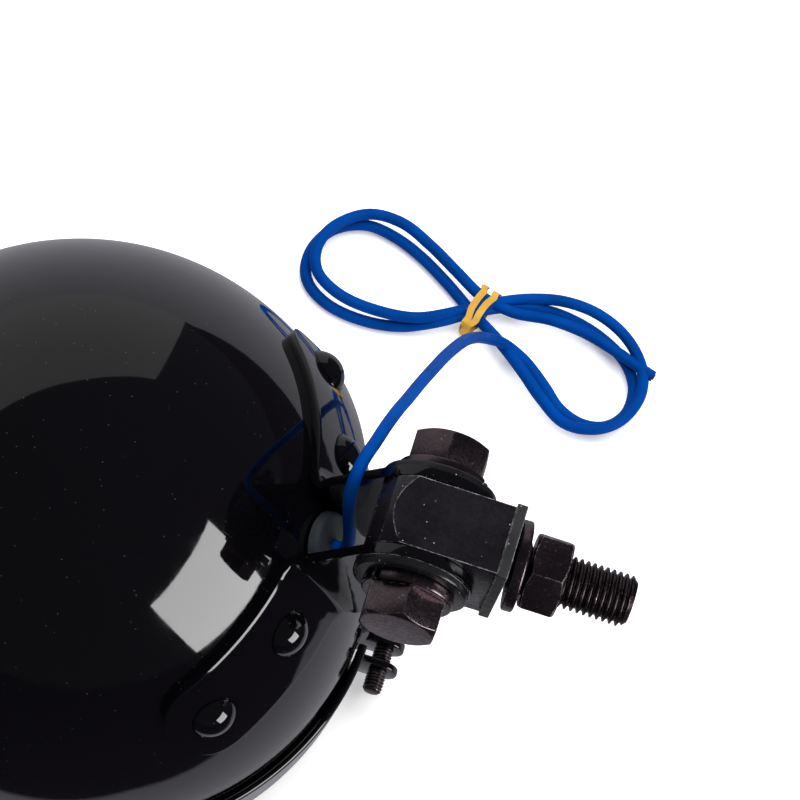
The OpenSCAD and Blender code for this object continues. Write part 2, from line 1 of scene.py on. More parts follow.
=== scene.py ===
# %% [markdown]
# # A round motorcycle headlight, seen from behind
# The lamp lies lens down on its trim ring. What shows is its bucket: a deep dome pressed from
# sheet steel and painted gloss black, with a swivel mount riveted to its side and one blue wire.
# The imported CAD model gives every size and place. Each visible piece is made again here with its
# rolled edges, threads and finish, and rides on the body that it belongs to.

# %% Load the frame
import json
import math

import bmesh
import bpy
import numpy as np
from mathutils import Matrix, Vector


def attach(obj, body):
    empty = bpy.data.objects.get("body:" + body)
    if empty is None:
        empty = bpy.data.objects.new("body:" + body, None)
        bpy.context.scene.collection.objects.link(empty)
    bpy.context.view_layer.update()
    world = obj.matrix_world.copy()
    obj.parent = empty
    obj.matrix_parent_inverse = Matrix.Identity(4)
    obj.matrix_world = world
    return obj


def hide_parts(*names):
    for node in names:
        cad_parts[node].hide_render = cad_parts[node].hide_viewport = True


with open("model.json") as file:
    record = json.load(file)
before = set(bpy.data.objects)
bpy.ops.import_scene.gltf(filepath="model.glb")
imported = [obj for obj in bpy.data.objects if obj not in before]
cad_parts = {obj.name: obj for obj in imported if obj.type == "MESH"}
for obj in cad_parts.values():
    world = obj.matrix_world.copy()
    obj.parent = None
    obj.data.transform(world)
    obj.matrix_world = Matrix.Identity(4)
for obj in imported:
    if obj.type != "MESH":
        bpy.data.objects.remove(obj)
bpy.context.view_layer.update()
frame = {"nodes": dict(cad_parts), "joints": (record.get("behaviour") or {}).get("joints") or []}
MM = 0.001

# %% [markdown]
# ## Camera
# The photograph looks down steeply on the dome, from the side where the right bolt is. The picture
# is a crop of a larger one, so its optical axis lies left of the middle: a small shift gives that.

# %% Place the camera
PICTURE = 800
FOCAL_PX = 3447.0
AXIS_PX = (277.0, 418.0)
CAMERA_AT = Vector((45.5, -229.5, 677.3)) * MM
CAMERA_TURN = Matrix(((0.9515, 0.2921, 0.0967), (0.3069, -0.8790, -0.3650), (-0.0216, 0.3769, -0.9259)))


def make_camera():
    """The rows of CAMERA_TURN are the picture's right, down and forward directions."""
    data = bpy.data.cameras.new("camera")
    data.sensor_width = 36.0
    data.lens = data.sensor_width * FOCAL_PX / PICTURE
    data.shift_x = (PICTURE / 2 - AXIS_PX[0]) / PICTURE
    data.shift_y = (AXIS_PX[1] - PICTURE / 2) / PICTURE
    data.clip_start = 0.01
    camera = bpy.data.objects.new("camera", data)
    bpy.context.scene.collection.objects.link(camera)
    right, down, ahead = (Vector(row).normalized() for row in CAMERA_TURN)
    right = down.cross(ahead).normalized()
    down = ahead.cross(right).normalized()
    turn = Matrix((right, -down, -ahead)).transposed().to_4x4()
    camera.matrix_world = Matrix.Translation(CAMERA_AT) @ turn
    bpy.context.scene.camera = camera
    return camera


camera = make_camera()
print("lens in mm:", round(camera.data.lens, 1))

# %% [markdown]
# ## Sizes that the pieces share
# These repeat the driving sizes of the CAD model, in millimetres. The pivot's place comes from the
# frame's own joint, so the mount follows the model if it is moved there.

# %% Sizes
SHELL_R = 60.0
SHELL_T = 1.2
DOME_START = 21.0
DOME_H = 69.5
DOME_POWER = 1.8
MOUTH_Z = 7.6
FOOT_Z = 59.5
EAR_GAP = 14.0
BRACKET_T = 2.0
FLANGE_W = 21.0
FLANGE_REACH = 41.6
FLANGE_CORNER_R = 5.5
EAR_R = 11.4
RIVETS_Y = (18.4, 36.4)
WIRE_D = 2.5
pivot = Vector(frame["joints"][0]["pos_m"]) / MM
print("pivot at", [round(v, 2) for v in pivot])


def shell_radius(z):
    """Outer radius of the shell at a height."""
    share = min(max((z - DOME_START) / DOME_H, 0.0), 1.0)
    return SHELL_R * (1 - share**DOME_POWER) ** (1 / DOME_POWER)


def shell_tilt(z):
    """Angle of the shell's normal above level, in radians."""
    step = 0.02
    return math.atan2(shell_radius(z - step) - shell_radius(z + step), 2 * step)


foot = Vector((shell_radius(FOOT_Z), 0, FOOT_Z))
foot_tilt = shell_tilt(FOOT_Z)
foot_out = Vector((math.cos(foot_tilt), 0, math.sin(foot_tilt)))
foot_up = Vector((-math.sin(foot_tilt), 0, math.cos(foot_tilt)))
print("mount's foot at", [round(v, 2) for v in foot], "tilt", round(math.degrees(foot_tilt), 1))

# %% [markdown]
# ## Helpers for mesh work
# A turned piece is a profile swept round an axis. A cut plate is an outline given a height. Both are
# closed meshes, and a bevel then breaks their edges as a press or a file does.

# %% Mesh helpers
def make_object(name, verts, faces, angle=30.0):
    """Mesh object from points in millimetres, smooth except at edges sharper than the angle."""
    mesh = bpy.data.meshes.new(name)
    mesh.from_pydata([tuple(Vector(v) * MM) for v in verts], [], faces)
    bm = bmesh.new()
    bm.from_mesh(mesh)
    bmesh.ops.remove_doubles(bm, verts=bm.verts, dist=1e-7)
    bmesh.ops.recalc_face_normals(bm, faces=bm.faces)
    bm.to_mesh(mesh)
    bm.free()
    mesh.shade_smooth()
    mesh.set_sharp_from_angle(angle=math.radians(angle))
    piece = bpy.data.objects.new(name, mesh)
    bpy.context.scene.collection.objects.link(piece)
    return piece


def lathe(name, profile, place=Matrix(), segments=96, angle=30.0):
    """Turned piece: a closed profile of (radius, height) pairs swept round the place's Z axis."""
    verts = []
    for r, z in profile:
        for k in range(segments):
            a = 2 * math.pi * k / segments
            verts.append(place @ Vector((r * math.cos(a), r * math.sin(a), z)))
    faces = []
    count = len(profile)
    for i in range(count):
        j = (i + 1) % count
        if profile[i][0] < 1e-6 and profile[j][0] < 1e-6:
            continue
        for k in range(segments):
            m = (k + 1) % segments
            faces.append((i * segments + k, i * segments + m, j * segments + m, j * segments + k))
    return make_object(name, verts, faces, angle)


def prism(name, outline, height, place):
    """Plate: an outline of (x, y) pairs raised along the place's Z axis."""
    n = len(outline)
    verts = [place @ Vector((x, y, 0)) for x, y in outline]
    verts += [place @ Vector((x, y, height)) for x, y in outline]
    faces = [tuple(range(n)), tuple(range(2 * n - 1, n - 1, -1))]
    faces += [(i, (i + 1) % n, n + (i + 1) % n, n + i) for i in range(n)]
    return make_object(name, verts, faces)


def sweep(name, sections, angle=30.0):
    """Solid through equal sections, one after the other, with both ends closed."""
    n = len(sections[0])
    last = n * (len(sections) - 1)
    faces = [tuple(range(n)), tuple(last + k for k in reversed(range(n)))]
    for i in range(0, last, n):
        for k in range(n):
            m = (k + 1) % n
            faces.append((i + k, i + m, i + n + m, i + n + k))
    return make_object(name, [point for section in sections for point in section], faces, angle)


def rectangle(x, y):
    """Outline that reaches x and y to each side of the middle."""
    return [(-x, -y), (x, -y), (x, y), (-x, y)]


def arc(centre, radius, start, stop, steps):
    """Points on an arc, with its angles in degrees."""
    points = []
    for i in range(steps + 1):
        a = math.radians(start + (stop - start) * i / steps)
        points.append((centre[0] + radius * math.cos(a), centre[1] + radius * math.sin(a)))
    return points


def apply_modifiers(piece):
    """Puts the result of the piece's modifiers into its mesh."""
    depsgraph = bpy.context.evaluated_depsgraph_get()
    mesh = bpy.data.meshes.new_from_object(piece.evaluated_get(depsgraph))
    old = piece.data
    piece.modifiers.clear()
    piece.data = mesh
    bpy.data.meshes.remove(old)
    mesh.name = piece.name
    return piece


def bevel(piece, width, segments=2, angle=40.0):
    """Rounds the piece's sharp edges."""
    m = piece.modifiers.new("bevel", "BEVEL")
    m.width = width * MM
    m.segments = segments
    m.limit_method = "ANGLE"
    m.angle_limit = math.radians(angle)
    m.harden_normals = False
    apply_modifiers(piece)
    piece.data.shade_smooth()
    piece.data.set_sharp_from_angle(angle=math.radians(50))
    return piece


def carve(piece, operation, *shapes):
    """Cuts the shapes out (DIFFERENCE) or keeps what lies in them (INTERSECT), and removes them."""
    for shape in shapes:
        m = piece.modifiers.new("carve", "BOOLEAN")
        m.operation = operation
        m.solver = "EXACT"
        m.object = shape
        apply_modifiers(piece)
        bpy.data.objects.remove(shape)
    return piece


def axes_at(origin, x_axis, z_axis):
    """Frame with its origin at a point, Z along z_axis and X near x_axis, in millimetres."""
    z = Vector(z_axis).normalized()
    y = z.cross(Vector(x_axis)).normalized()
    x = y.cross(z)
    turn = Matrix((x, y, z)).transposed().to_4x4()
    return Matrix.Translation(Vector(origin)) @ turn


made = []


def add(piece, body, material, slot, *nodes):
    """Finishes a piece: its material, its body and the CAD nodes that it stands for. The slot is not used.
    """
    piece.data.materials.clear()
    piece.data.materials.append(material)
    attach(piece, body)
    if nodes:
        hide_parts(*nodes)
    made.append(piece.name)
    print(piece.name, "rides on", body)
    return piece

# %% [markdown]
# ## Finishes that the pieces share
# Gloss paint is never quite flat: it has a long soft waviness, called orange peel, and the shop's
# dust lies on it. Blackened steel has a fine mottle. Each of these effects is one node group with
# its own inputs, so that every material can use it at its own strength.

# %% Node helpers
FLOAT = "NodeSocketFloat"
VECTOR = "NodeSocketVector"


def new_group(name, inputs, outputs):
    """Empty node group; an input is given as (name, kind, value) and an output as (name, kind)."""
    group = bpy.data.node_groups.new(name, "ShaderNodeTree")
    for label, kind, value in inputs:
        socket = group.interface.new_socket(name=label, in_out="INPUT", socket_type=kind)
        socket.default_value = value
    for label, kind in outputs:
        group.interface.new_socket(name=label, in_out="OUTPUT", socket_type=kind)
    source = group.nodes.new("NodeGroupInput")
    target = group.nodes.new("NodeGroupOutput")
    return group, source, target


def place_node(tree, kind, links=(), **values):
    """Node with its values set; links are (its input, the socket or value that feeds it)."""
    node = tree.nodes.new(kind)
    for key, value in values.items():
        setattr(node, key, value)
    for label, feed in links:
        if hasattr(feed, "node"):
            tree.links.new(feed, node.inputs[label])
        else:
            node.inputs[label].default_value = feed
    return node


def math_node(tree, operation, first, second):
    """Result of one operation on two numbers or sockets."""
    return place_node(tree, "ShaderNodeMath", [(0, first), (1, second)], operation=operation).outputs[0]


def noise_node(tree, where, scale, detail):
    """Soft random pattern from 0 to 1."""
    links = [("Vector", where), ("Scale", scale), ("Detail", detail)]
    return place_node(tree, "ShaderNodeTexNoise", links).outputs[0]


def dot_node(tree, first, second):
    """How far two directions agree, 1 where they are the same."""
    links = [(0, first), (1, second)]
    return place_node(tree, "ShaderNodeVectorMath", links, operation="DOT_PRODUCT").outputs["Value"]


def range_node(tree, value, at_zero, at_one):
    """Mask that runs from 0 to 1 as the value runs between two others."""
    links = [("Value", value), ("From Min", at_zero), ("From Max", at_one)]
    return place_node(tree, "ShaderNodeMapRange", links).outputs[0]


def bump_node(tree, height, strength, distance):
    """Normal of a surface that rises and falls with the height."""
    links = [("Height", height), ("Strength", strength), ("Distance", distance)]
    return place_node(tree, "ShaderNodeBump", links).outputs["Normal"]


def object_place(tree):
    """Place on the object in metres, which patterns are laid out in."""
    return place_node(tree, "ShaderNodeTexCoord").outputs["Object"]


# %% Soft waviness of sprayed paint
def peel_group():
    """Orange peel: a slow, soft wave, put out as a normal and as a mask."""
    group, source, target = new_group(
        "paint_peel",
        [("Scale", FLOAT, 220.0), ("Depth", FLOAT, 0.02)],
        [("Normal", VECTOR), ("Mask", FLOAT)],
    )
    wave = noise_node(group, object_place(group), source.outputs["Scale"], 2.0)
    group.links.new(bump_node(group, wave, source.outputs["Depth"], 0.001), target.inputs["Normal"])
    group.links.new(wave, target.inputs["Mask"])
    return group


peel = peel_group()

# %% Dust specks
def dust_group():
    """Sparse pale specks, put out as a mask from 0 to 1."""
    group, source, target = new_group(
        "dust_specks",
        [("Scale", FLOAT, 700.0), ("Amount", FLOAT, 0.09)],
        [("Mask", FLOAT)],
    )
    links = [("Vector", object_place(group)), ("Scale", source.outputs["Scale"])]
    cells = place_node(group, "ShaderNodeTexVoronoi", links)
    chance = place_node(group, "ShaderNodeTexWhiteNoise", [("Vector", cells.outputs["Position"])])
    rare = math_node(group, "GREATER_THAN", chance.outputs["Value"], 0.94)
    near = math_node(group, "LESS_THAN", cells.outputs["Distance"], source.outputs["Amount"])
    group.links.new(math_node(group, "MULTIPLY", rare, near), target.inputs["Mask"])
    return group


dust = dust_group()

# %% Mottle of blackened steel
def mottle_group():
    """Fine grain and broad patches, put out as two masks and a normal."""
    group, source, target = new_group(
        "steel_mottle",
        [("Grain", FLOAT, 1500.0), ("Patch", FLOAT, 160.0), ("Depth", FLOAT, 0.15)],
        [("Grain mask", FLOAT), ("Patch mask", FLOAT), ("Normal", VECTOR)],
    )
    where = object_place(group)
    grain = noise_node(group, where, source.outputs["Grain"], 4.0)
    patch = noise_node(group, where, source.outputs["Patch"], 3.0)
    group.links.new(grain, target.inputs["Grain mask"])
    group.links.new(patch, target.inputs["Patch mask"])
    group.links.new(bump_node(group, grain, source.outputs["Depth"], 0.0002), target.inputs["Normal"])
    return group


mottle = mottle_group()

# %% Bright edges: rubbed steel and painted highlights
def edge_group():
    """Sharp edges, broken up by noise, put out as a mask. The pale colour it lays on them is partly steel
    rubbed bare and partly a painted highlight.

    Near an edge the normal of a rounded copy of the surface departs from the flat face's own.
    """
    group, source, target = new_group(
        "edge_wear_and_highlight",
        [("Radius", FLOAT, 0.00025), ("Break", FLOAT, 700.0)],
        [("Mask", FLOAT)],
    )
    flat = place_node(group, "ShaderNodeNewGeometry").outputs["Normal"]
    links = [("Radius", source.outputs["Radius"])]
    rounded = place_node(group, "ShaderNodeBevel", links, samples=4).outputs[0]
    noise = noise_node(group, object_place(group), source.outputs["Break"], 3.0)
    sharp = range_node(group, dot_node(group, flat, rounded), 0.995, 0.93)
    broken = range_node(group, noise, 0.35, 0.6)
    group.links.new(math_node(group, "MULTIPLY", sharp, broken), target.inputs["Mask"])
    return group


# The edge mask paints a pale colour that is partly rubbed steel and partly a painted highlight.
edge_wear_and_highlight = edge_group()
print("groups:", [g.name for g in bpy.data.node_groups])

# %% [markdown]
# ## Materials
# One small function makes a material with a Principled shader. The groups then feed its colour,
# roughness and normal, while every value that is the same all over is set on the shader itself.

# %% Material helper
def new_material(name, color, rough, metal=0.0, **sockets):
    """Material with a Principled shader; sockets are named with underscores for spaces."""
    material = bpy.data.materials.new(name)
    material.use_nodes = True
    tree = material.node_tree
    shader = tree.nodes["Principled BSDF"]
    shader.inputs["Base Color"].default_value = (*color, 1.0)
    shader.inputs["Roughness"].default_value = rough
    shader.inputs["Metallic"].default_value = metal
    for label, value in sockets.items():
        shader.inputs[label.replace("_", " ")].default_value = value
    return material, tree, shader


def use_group(tree, group, **values):
    """Places a group in a material with its own values, and gives its outputs."""
    node = tree.nodes.new("ShaderNodeGroup")
    node.node_tree = group
    for label, value in values.items():
        node.inputs[label].default_value = value
    return node.outputs


def feed_shader(tree, shader, **feeds):
    """Links each named socket of the shader to what feeds it."""
    for label, feed in feeds.items():
        tree.links.new(feed, shader.inputs[label.replace("_", " ")])


def ramp(tree, feed, low, high, at_low=0.35, at_high=0.65):
    """Colour or grey that runs from low to high as the feed runs between two values."""
    node = tree.nodes.new("ShaderNodeValToRGB")
    node.color_ramp.elements[0].position = at_low
    node.color_ramp.elements[1].position = at_high
    node.color_ramp.elements[0].color = (*low, 1.0)
    node.color_ramp.elements[1].color = (*high, 1.0)
    tree.links.new(feed, node.inputs["Fac"])
    return node.outputs["Color"]


def grey(value):
    """A grey as three equal channels."""
    return (value, value, value)


def scaled(color, share):
    """The colour made darker or lighter, up to white."""
    return tuple(min(1.0, share * c) for c in color)


def mix_color(tree, factor, low, high):
    """Colour that is low where the factor is 0 and high where it is 1."""
    node = tree.nodes.new("ShaderNodeMix")
    node.data_type = "RGBA"
    tree.links.new(factor, node.inputs[0])
    for socket, feed in ((node.inputs[6], low), (node.inputs[7], high)):
        if hasattr(feed, "node"):
            tree.links.new(feed, socket)
        else:
            socket.default_value = (*feed, 1.0)
    return node.outputs[2]

# %% Gloss black paint
def gloss_black_paint(name, peel_scale, peel_depth):
    """Sprayed and baked gloss black, with orange peel and a few specks of dust."""
    black = (0.0012, 0.001, 0.0016)
    material, tree, shader = new_material(name, black, 0.06, Coat_Weight=0.6, Coat_Roughness=0.02)
    wave = use_group(tree, peel, Scale=peel_scale, Depth=peel_depth)
    specks = use_group(tree, dust, Scale=1300.0, Amount=0.13)
    feed_shader(
        tree,
        shader,
        Base_Color=mix_color(tree, specks["Mask"], black, (0.06, 0.06, 0.064)),
        Roughness=ramp(tree, wave["Mask"], grey(0.045), grey(0.075)),
        Normal=wave["Normal"],
    )
    return material


paint = gloss_black_paint("gloss_black_paint", 240.0, 0.012)
strip_paint = gloss_black_paint("strip_gloss_black", 150.0, 0.07)

# %% Blackened steel and satin black
def black_oxide(name, shade, pale_edge_share):
    """Chemical blackening on machined steel: a warm brown cast, with brighter patches, and pale edges that
    are partly steel rubbed bare and partly a painted highlight.
    """
    material, tree, shader = new_material(name, (0.06, 0.045, 0.05), 0.34, metal=1.0)
    skin = use_group(tree, mottle, Grain=1800.0, Patch=220.0, Depth=0.2)
    specks = use_group(tree, dust, Scale=1900.0, Amount=0.3)
    edges = use_group(tree, edge_wear_and_highlight)
    dark, light = scaled((0.14, 0.108, 0.12), shade), scaled((0.185, 0.14, 0.156), shade)
    tone = ramp(tree, skin["Patch mask"], dark, light)
    # Pale edge colour: partly steel rubbed bare, partly a painted highlight.
    worn_and_highlit = mix_color(tree, edges["Mask"], tone, scaled((0.62, 0.55, 0.54), pale_edge_share))
    feed_shader(
        tree,
        shader,
        Base_Color=mix_color(tree, specks["Mask"], worn_and_highlit, (0.5, 0.45, 0.45)),
        Roughness=ramp(tree, skin["Grain mask"], grey(0.22), grey(0.36)),
        Metallic=ramp(tree, edges["Mask"], grey(1.0), grey(0.35), 0.0, 1.0),
        Normal=skin["Normal"],
    )
    return material


def satin_black(name, color, rough, depth):
    """Thin satin black coat that shows the steel's grain below it."""
    material, tree, shader = new_material(name, color, rough)
    skin = use_group(tree, mottle, Grain=900.0, Patch=120.0, Depth=depth)
    specks = use_group(tree, dust, Scale=1500.0, Amount=0.18)
    edges = use_group(tree, edge_wear_and_highlight)
    tone = ramp(tree, skin["Patch mask"], color, tuple(1.5 * c + 0.001 for c in color))
    # Pale grey edge colour: partly coat rubbed through, partly a painted highlight.
    worn_and_highlit = mix_color(tree, edges["Mask"], tone, (0.42, 0.41, 0.43))
    feed_shader(
        tree,
        shader,
        Base_Color=mix_color(tree, specks["Mask"], worn_and_highlit, grey(0.3)),
        Roughness=ramp(tree, skin["Grain mask"], grey(rough - 0.06), grey(rough + 0.08)),
        Normal=skin["Normal"],
    )
    return material


oxide = black_oxide("black_oxide", 1.0, 1.0)
thread_oxide = black_oxide("thread_oxide", 0.6, 0.12)
block_black = satin_black("block_black", (0.0045, 0.0036, 0.0052), 0.26, 0.06)
plate_black = satin_black("plate_black", (0.012, 0.012, 0.013), 0.5, 0.25)
washer_black = satin_black("washer_black", (0.005, 0.005, 0.006), 0.22, 0.1)

# %% Rubber, plastic, foil and glass
def plain_finish(name, color, rough, metal=0.0, grain=900.0, depth=0.1, **sockets):
    """Moulded or drawn finish with a fine grain and a slight change of tone."""
    material, tree, shader = new_material(name, color, rough, metal, **sockets)
    skin = use_group(tree, mottle, Grain=grain, Patch=150.0, Depth=depth)
    tone = ramp(tree, skin["Patch mask"], scaled(color, 0.88), scaled(color, 1.12))
    feed_shader(tree, shader, Base_Color=tone, Normal=skin["Normal"])
    return material


rubber = plain_finish("grommet_rubber", (0.024, 0.028, 0.034), 0.62, depth=0.3)
gasket = plain_finish("gasket_rubber", (0.012, 0.012, 0.012), 0.7, depth=0.2)
insulation = plain_finish("blue_insulation", (0.0, 0.041, 0.23), 0.36, depth=0.03, Specular_IOR_Level=0.02)
plastic = plain_finish("plug_plastic", (0.012, 0.012, 0.014), 0.45)
spring_steel = plain_finish("spring_steel", (0.45, 0.45, 0.43), 0.32, metal=1.0)
zinc = plain_finish("zinc_plate", (0.55, 0.53, 0.46), 0.3, metal=1.0)
copper = plain_finish("bare_copper", (0.75, 0.33, 0.16), 0.3, metal=1.0)
mirror_coat = plain_finish("mirror_coat", (0.86, 0.87, 0.88), 0.05, metal=1.0, depth=0.0)
foil = plain_finish("gold_foil", (1.0, 0.54, 0.09), 0.2, metal=0.5, grain=600.0, depth=1.0)
base_metal = plain_finish("bulb_base_metal", (0.62, 0.63, 0.65), 0.3, metal=1.0)


def clear_glass():
    """Pressed glass, with faint vertical flutes across the lens."""
    clear = (0.93, 0.96, 0.97)
    material, tree, shader = new_material("lens_glass", clear, 0.02, Transmission_Weight=1.0, IOR=1.5)
    links = [("Vector", object_place(tree)), ("Scale", 60.0)]
    flutes = place_node(tree, "ShaderNodeTexWave", links, wave_type="BANDS", bands_direction="X")
    feed_shader(tree, shader, Normal=bump_node(tree, flutes.outputs[1], 0.35, 0.0006))
    return material


glass = clear_glass()
print("materials:", len(bpy.data.materials))

# %% [markdown]
# ## Wire
# A single copper core in blue insulation comes out of the grommet, lies over the left ear, and falls
# in one long curve to the table. There it is wound twice into a loose figure of eight and tied with a
# strip of gold foil, and its short end is cut off square. A cord could be a chain of tubes, but the
# whole wire is one curve here, so that its length can be measured.

# %% The wire's route
LEAD = [
    (51.2, -0.3, 62), (51.4, 0.6, 66), (50, 2.2, 73), (49, 4.1, 79), (48.9, 6.4, 83), (49.5, 10, 83.8),
    (50.5, 14.3, 82), (51.5, 19.2, 79.4), (52.7, 24.4, 75.8), (54, 29.6, 71), (55.4, 35.6, 65.4),
    (56.9, 42, 58.4), (58.6, 49.6, 49.2), (60.4, 57.2, 38.6), (62.4, 64.6, 27.4), (64.6, 70.6, 17),
    (67.2, 74.6, 9.4), (70.2, 76.6, 5.2), (73.4, 76.6, 3),
]  # fmt: skip
HANK = [
    (77.2, 75.3, 1.5), (82, 71.5, 1.5), (86.4, 67.6, 1.5), (91.8, 65.8, 1.5), (97, 67, 1.5),
    (100.4, 71.4, 1.5), (100.4, 77.6, 1.5), (97, 82.8, 1.5), (91, 86.4, 1.5), (84, 88.4, 1.5),
    (77, 88.6, 1.7), (70, 86.4, 2.6), (63.2, 82.4, 3.6), (56, 77.6, 3), (48.4, 74.4, 1.7),
    (40, 73.2, 1.5), (32, 74.4, 1.5), (26.4, 78.4, 1.5), (25.2, 84.8, 1.6), (28.2, 91.2, 1.8),
    (34.6, 94.8, 1.8), (41.4, 94.4, 1.6), (48.4, 91.8, 1.5), (55.6, 87.6, 1.5), (62.6, 82.8, 1.5),
    (69.6, 78, 2.6), (76, 72.4, 4.2), (81.6, 67.6, 4.2), (88, 64, 3.4), (94.6, 64.4, 4.2),
    (99.6, 68.4, 4.2), (102, 75, 4.2), (100.6, 81.6, 4.2), (95.6, 87.2, 4.2), (88.6, 90.4, 4.2),
    (81, 91, 3.9), (73.6, 89.4, 3.2), (66.4, 85.4, 4.2), (59, 80.6, 4.2), (51.4, 76.4, 4.4),
    (43, 75.2, 4.3), (34.6, 76, 4.3), (28.2, 79.6, 4.3), (26.4, 85.6, 4.3), (29, 91.8, 4.4),
    (35, 96.4, 4.5), (42.4, 96.8, 4.3), (49.6, 93.8, 4.2), (56.6, 89.8, 4.2), (63.4, 86, 4.2),
    (71, 84.6, 4.3), (79, 85.6, 4.4), (87, 85.2, 4.2), (94, 83.4, 4.2), (99.4, 81.6, 4.2),
    (103.6, 80.3, 4.2),
]  # fmt: skip


def smooth_path(points):
    """Catmull-Rom curve through the points, in six steps from each to the next."""
    p = [Vector(q) for q in points]
    p = [2 * p[0] - p[1]] + p + [2 * p[-1] - p[-2]]
    out = []
    for a, b, c, d in zip(p, p[1:], p[2:], p[3:]):
        for t in (k / 6 for k in range(6)):
            square = (2 * a - 5 * b + 4 * c - d) * t**2
            cube = (3 * b - a - 3 * c + d) * t**3
            out.append(0.5 * (2 * b + (c - a) * t + square + cube))
    out.append(p[-2])
    return out


def tube_curve(name, points, diameter):
    """Round cord along the points, as one open curve with closed ends."""
    data = bpy.data.curves.new(name, "CURVE")
    data.dimensions = "3D"
    data.bevel_depth = diameter / 2 * MM
    data.bevel_resolution = 6
    data.use_fill_caps = True
    line = data.splines.new("POLY")
    line.points.add(len(points) - 1)
    for point, at in zip(line.points, points):
        point.co = (*(Vector(at) * MM), 1.0)
    line.use_smooth = True
    piece = bpy.data.objects.new(name, data)
    bpy.context.scene.collection.objects.link(piece)
    return piece


GROMMET_OUT = 2.4
wire_exit = foot + (GROMMET_OUT + 0.05) * foot_out
wire_points = smooth_path([wire_exit] + LEAD + HANK)
wire = tube_curve("blue_wire", wire_points, WIRE_D)

# %% Bare copper in the wire's cut end
CORE_D = 1.4
end_dir = (wire_points[-1] - wire_points[-2]).normalized()
core = tube_curve("wire_core", [wire_points[-1] + d * end_dir for d in (-0.5, 0.25)], CORE_D)

# %% Foil tie round the waist of the hank
TIE_MIDDLE = Vector((63.5, 82.8, 2.95))
TIE_TURN = math.radians(-16)


def foil_tie():
    """Two turns of a narrow foil strip, squared off round the wires and a little crumpled."""
    along = Vector((math.cos(TIE_TURN), math.sin(TIE_TURN), 0))
    across = Vector((-math.sin(TIE_TURN), math.cos(TIE_TURN), 0))
    up = Vector((0, 0, 1))
    turns, steps, width, t = 2.0, 144, 1.5, 0.14
    half_wide, half_high, squareness, lowest, advance = 5.7, 2.85, 0.6, 0.35, 1.5
    sections = []
    for i in range(steps + 1):
        a = 2 * math.pi * turns * i / steps
        wob = 0.14 * math.sin(5.3 * a) + 0.12 * math.sin(11 * a + 1)
        wide = half_wide + wob + 0.12 * i / steps
        high = half_high + 0.5 * wob
        u = (abs(math.cos(a)) ** squareness) * math.copysign(1, math.cos(a))
        v = (abs(math.sin(a)) ** squareness) * math.copysign(1, math.sin(a))
        centre = TIE_MIDDLE + across * wide * u + up * max(high * v, lowest - TIE_MIDDLE.z)
        centre += along * (advance * math.cos(a / 2) + 0.2 * math.sin(7 * a))
        out = (across * u + up * v).normalized()
        corners = ((-1, 0), (1, 0), (1, 1), (-1, 1))
        sections.append([centre + along * side * width / 2 + out * rise * t for side, rise in corners])
    return sweep("foil_tie", sections, angle=50)


tie = foil_tie()

for piece, material, slot, nodes in (
    (wire, insulation, "wire_pvc", ("wire_lead", "wire_hank")),
    (core, copper, "wire_pvc", ()),
    (tie, foil, "tie_foil", ("wire_tie",)),
):
    add(piece, "lamp", material, slot, *nodes)

# %% [markdown]
# ## Shell
# The bucket is drawn from one disc of steel, so it is a smooth dome with a straight mouth. It is made
# here as a turned piece with the same formula as the CAD model, with many more rings. The holes of the
# grommet and the rivets are left out, because the pieces that sit in them hide them.

# %% Make the shell
def shell_profile():
    """Outer curve up to the pole, then the inner curve back down."""
    steps = 72
    outer = []
    for i in range(steps + 1):
        a = math.pi / 2 * i / steps
        r = SHELL_R * math.cos(a) ** (2 / DOME_POWER) if i < steps else 0.0
        outer.append((r, DOME_START + DOME_H * math.sin(a) ** (2 / DOME_POWER)))
    inner = []
    for i in range(steps, -1, -1):
        r, z = outer[i]
        scale = (SHELL_R - SHELL_T) / SHELL_R
        inner.append((r * scale, DOME_START + (z - DOME_START) * (DOME_H - SHELL_T) / DOME_H))
    return [(SHELL_R - SHELL_T, MOUTH_Z), (SHELL_R, MOUTH_Z)] + outer + inner


shell = lathe("bucket_shell", shell_profile(), segments=192)
add(shell, "lamp", paint, "gloss_black_paint", "shell")
print("shell faces:", len(shell.data.polygons))

# %% [markdown]
# ## Brackets
# Each bracket is one strip of sheet steel. Its flange is curved to lie on the dome, and its ear is
# bent up square from it and rounded at the end. It could be cut from solid pieces, but a sheet keeps
# one thickness through its bends, so the strip is laid out as a grid and then given its thickness.

# %% Points on the shell
def flange_point(s, y, off=0.0):
    """Point above the shell, s along the foot's upward tangent and y from the middle plane."""
    base = foot + s * foot_up + Vector((0, y, 0))
    low, high = -70.0, 15.0
    for _ in range(48):
        mid = (low + high) / 2
        q = base + mid * foot_out
        inside = q.z < DOME_START + DOME_H and math.hypot(q.x, q.y) < shell_radius(q.z)
        low, high = (mid, high) if inside else (low, mid)
    q = base + low * foot_out
    tilt = shell_tilt(q.z)
    level = Vector((q.x, q.y, 0)).normalized()
    normal = level * math.cos(tilt) + Vector((0, 0, math.sin(tilt)))
    return q + off * normal, normal


# %% Make the brackets
BEND_R = 1.6
EAR_ROOT = 4.0


def ear_ends():
    """The two points where the ear's straight edges, drawn from inside the dome, meet its round end."""
    root = foot - EAR_ROOT * foot_out
    ends = []
    for hand in (-1, 1):
        v = root - hand * FLANGE_W / 2 * foot_up - pivot
        turn = hand * math.acos(EAR_R / v.length)
        d = v.normalized() * EAR_R
        c, s = math.cos(turn), math.sin(turn)
        ends.append(pivot + Vector((d.x * c - d.z * s, 0, d.x * s + d.z * c)))
    return ends


